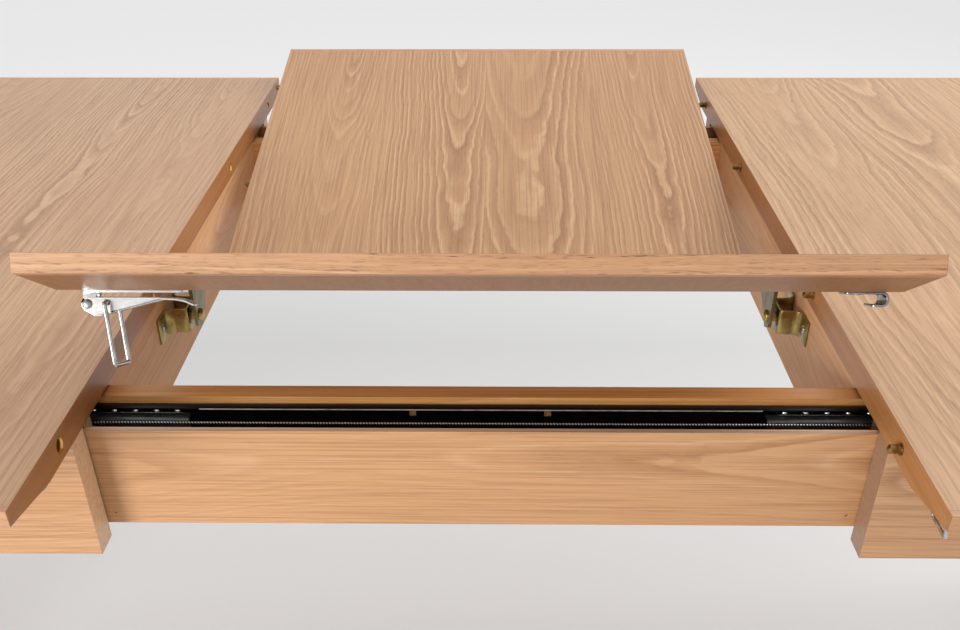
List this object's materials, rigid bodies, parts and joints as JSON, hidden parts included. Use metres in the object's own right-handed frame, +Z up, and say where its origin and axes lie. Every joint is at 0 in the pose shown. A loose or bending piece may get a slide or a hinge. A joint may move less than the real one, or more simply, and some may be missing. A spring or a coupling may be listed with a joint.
{
  "type": "extending table",
  "caption": "Extending dining table shown open, with a two-piece folding leaf that swings up from a central frame between two sliding half tops",
  "frame": {"origin": "on the floor, under the middle of the table", "axes": "+X along the table, -Y front long side, +Z up"},
  "size_m": [2.136, 0.9038, 0.8909],
  "materials": {
    "bracket_screws": "bright steel",
    "cross_bearers": "matt lacquered oak",
    "cross_rails": "matt lacquered oak",
    "fascia_pins": "bright steel",
    "inner_rails": "matt lacquered oak",
    "leaf_front_lipping": "matt lacquered oak",
    "leaf_front_panel": "matt lacquered oak",
    "leaf_front_pins": "polished brass",
    "leaf_front_sockets": "polished brass",
    "leaf_hinge_quadrants": "polished brass",
    "leaf_hook": "bright nickel plate",
    "leaf_latch_bail": "bright nickel plate",
    "leaf_latch_base": "bright nickel plate",
    "leaf_latch_lever": "bright nickel plate",
    "leaf_rear_lipping": "matt lacquered oak",
    "leaf_rear_panel": "matt lacquered oak",
    "leaf_rear_pins": "polished brass",
    "leaf_rear_sockets": "polished brass",
    "left_alignment_sockets": "polished brass",
    "left_aprons": "matt lacquered oak",
    "left_ball_cages": "bright steel",
    "left_corner_blocks": "matt lacquered oak",
    "left_front_pulley": "moulded nylon",
    "left_glides": "felt",
    "left_hook": "bright nickel plate",
    "left_legs": "matt lacquered oak",
    "left_lippings": "matt lacquered oak",
    "left_rear_pulley": "moulded nylon",
    "left_rope_clamps": "polished brass",
    "left_runners": "matt lacquered oak",
    "left_slide_balls": "bright steel",
    "left_slide_members": "black zinc steel",
    "left_slide_spacers": "bright steel",
    "left_top": "matt lacquered oak",
    "outer_fascias": "matt lacquered oak",
    "pivot_brackets": "bronzed strip steel",
    "pivot_rivets": "bronzed strip steel",
    "pulley_pins": "bright steel",
    "right_alignment_pins": "polished brass",
    "right_aprons": "matt lacquered oak",
    "right_ball_cages": "bright steel",
    "right_corner_blocks": "matt lacquered oak",
    "right_front_pulley": "moulded nylon",
    "right_glides": "felt",
    "right_latch_bail": "bright nickel plate",
    "right_latch_base": "bright nickel plate",
    "right_latch_lever": "bright nickel plate",
    "right_legs": "matt lacquered oak",
    "right_lippings": "matt lacquered oak",
    "right_rear_pulley": "moulded nylon",
    "right_rope_clamps": "polished brass",
    "right_runners": "matt lacquered oak",
    "right_slide_balls": "bright steel",
    "right_slide_members": "black zinc steel",
    "right_slide_spacers": "bright steel",
    "right_top": "matt lacquered oak",
    "slide_channels": "black zinc steel",
    "slot_floors": "matt lacquered oak",
    "swing_arms": "bronzed strip steel",
    "sync_ropes": "bright steel"
  },
  "bodies": {
    "centre_frame": {"inner_rails": "inner_rails", "outer_fascias": "outer_fascias", "slot_floors": "slot_floors", "cross_rails": "cross_rails", "cross_bearers": "cross_bearers", "slide_channels": "slide_channels", "sync_ropes": "sync_ropes", "fascia_pins": "fascia_pins", "pulley_pins": "pulley_pins", "pivot_brackets": "pivot_brackets", "pivot_rivets": "pivot_rivets", "bracket_screws": "bracket_screws"},
    "left_half": {"left_top": "left_top", "left_lippings": "left_lippings", "left_aprons": "left_aprons", "left_legs": "left_legs", "left_corner_blocks": "left_corner_blocks", "left_glides": "left_glides", "left_runners": "left_runners", "left_slide_members": "left_slide_members", "left_slide_spacers": "left_slide_spacers", "left_rope_clamps": "left_rope_clamps", "left_alignment_sockets": "left_alignment_sockets", "left_hook": "left_hook"},
    "right_half": {"right_top": "right_top", "right_lippings": "right_lippings", "right_aprons": "right_aprons", "right_legs": "right_legs", "right_corner_blocks": "right_corner_blocks", "right_glides": "right_glides", "right_runners": "right_runners", "right_slide_members": "right_slide_members", "right_slide_spacers": "right_slide_spacers", "right_rope_clamps": "right_rope_clamps", "right_alignment_pins": "right_alignment_pins", "right_latch_base": "right_latch_base"},
    "left_cages": {"left_ball_cages": "left_ball_cages", "left_slide_balls": "left_slide_balls"},
    "right_cages": {"right_ball_cages": "right_ball_cages", "right_slide_balls": "right_slide_balls"},
    "leaf_front": {"leaf_front_panel": "leaf_front_panel", "leaf_front_lipping": "leaf_front_lipping", "leaf_front_pins": "leaf_front_pins", "leaf_front_sockets": "leaf_front_sockets", "leaf_hinge_quadrants": "leaf_hinge_quadrants", "swing_arms": "swing_arms", "leaf_latch_base": "leaf_latch_base", "leaf_hook": "leaf_hook"},
    "leaf_rear": {"leaf_rear_panel": "leaf_rear_panel", "leaf_rear_lipping": "leaf_rear_lipping", "leaf_rear_pins": "leaf_rear_pins", "leaf_rear_sockets": "leaf_rear_sockets"},
    "leaf_lever": {"leaf_latch_lever": "leaf_latch_lever"},
    "leaf_bail": {"leaf_latch_bail": "leaf_latch_bail"},
    "right_lever": {"right_latch_lever": "right_latch_lever"},
    "right_bail": {"right_latch_bail": "right_latch_bail"},
    "left_front_wheel": {"left_front_pulley": "left_front_pulley"},
    "left_rear_wheel": {"left_rear_pulley": "left_rear_pulley"},
    "right_front_wheel": {"right_front_pulley": "right_front_pulley"},
    "right_rear_wheel": {"right_rear_pulley": "right_rear_pulley"}
  },
  "joints": [
    {"name": "left_extension", "type": "slide", "parent": "centre_frame", "child": "left_half", "axis": [-1, 0, 0], "range_m": [-0.0095, 0]},
    {"name": "right_extension", "type": "slide", "parent": "centre_frame", "child": "right_half", "axis": [1, 0, 0], "range_m": [-0.0095, 0]},
    {"name": "left_cage_travel", "type": "slide", "parent": "centre_frame", "child": "left_cages", "axis": [-1, 0, 0], "range_m": [-0.00475, 0]},
    {"name": "right_cage_travel", "type": "slide", "parent": "centre_frame", "child": "right_cages", "axis": [1, 0, 0], "range_m": [-0.00475, 0]},
    {"name": "left_front_pulley_spin", "type": "hinge", "parent": "centre_frame", "child": "left_front_wheel", "pos_m": [-0.6119, -0.3007, 0.7035], "axis": [0, 1, 0], "range_deg": [0, 37.6]},
    {"name": "left_rear_pulley_spin", "type": "hinge", "parent": "centre_frame", "child": "left_rear_wheel", "pos_m": [-0.6119, 0.3007, 0.7035], "axis": [0, 1, 0], "range_deg": [0, 37.6]},
    {"name": "right_front_pulley_spin", "type": "hinge", "parent": "centre_frame", "child": "right_front_wheel", "pos_m": [0.6119, -0.3007, 0.7035], "axis": [0, 1, 0], "range_deg": [0, 37.6]},
    {"name": "right_rear_pulley_spin", "type": "hinge", "parent": "centre_frame", "child": "right_rear_wheel", "pos_m": [0.6119, 0.3007, 0.7035], "axis": [0, 1, 0], "range_deg": [0, 37.6]},
    {"name": "leaf_swing", "type": "hinge", "parent": "centre_frame", "child": "leaf_front", "pos_m": [0, -0.113, 0.7065], "axis": [1, 0, 0], "range_deg": [-97, 24.6]},
    {"name": "leaf_fold", "type": "hinge", "parent": "leaf_front", "child": "leaf_rear", "pos_m": [0, 0.00993, 0.70356], "axis": [1, 0, 0], "range_deg": [-35.7, 140.47]},
    {"name": "leaf_lever_turn", "type": "hinge", "parent": "leaf_front", "child": "leaf_lever", "pos_m": [-0.2323, -0.3505, 0.83635], "axis": [0, 0.9092, -0.4163], "range_deg": [0, 75]},
    {"name": "leaf_bail_swing", "type": "hinge", "parent": "leaf_lever", "child": "leaf_bail", "pos_m": [-0.2206, -0.35021, 0.83699], "axis": [0, 0.9092, -0.4163], "range_deg": [-20, 20]},
    {"name": "right_lever_turn", "type": "hinge", "parent": "right_half", "child": "right_lever", "pos_m": [0.2842, -0.3785, 0.7257], "axis": [0, 1, 0], "range_deg": [0, 75]},
    {"name": "right_bail_swing", "type": "hinge", "parent": "right_lever", "child": "right_bail", "pos_m": [0.2959, -0.3785, 0.7264], "axis": [0, 1, 0], "range_deg": [-20, 20]}
  ],
  "couplings": [
    {"joint": "right_extension", "follows": "left_extension", "ratio": 1},
    {"joint": "left_cage_travel", "follows": "left_extension", "ratio": 0.5},
    {"joint": "right_cage_travel", "follows": "left_extension", "ratio": 0.5},
    {"joint": "left_front_pulley_spin", "follows": "left_extension", "rad_per_m": -68.966},
    {"joint": "left_rear_pulley_spin", "follows": "left_extension", "rad_per_m": -68.966},
    {"joint": "right_front_pulley_spin", "follows": "left_extension", "rad_per_m": -68.966},
    {"joint": "right_rear_pulley_spin", "follows": "left_extension", "rad_per_m": -68.966},
    {"joint": "leaf_fold", "follows": "leaf_swing", "ratio": -1.4472}
  ]
}
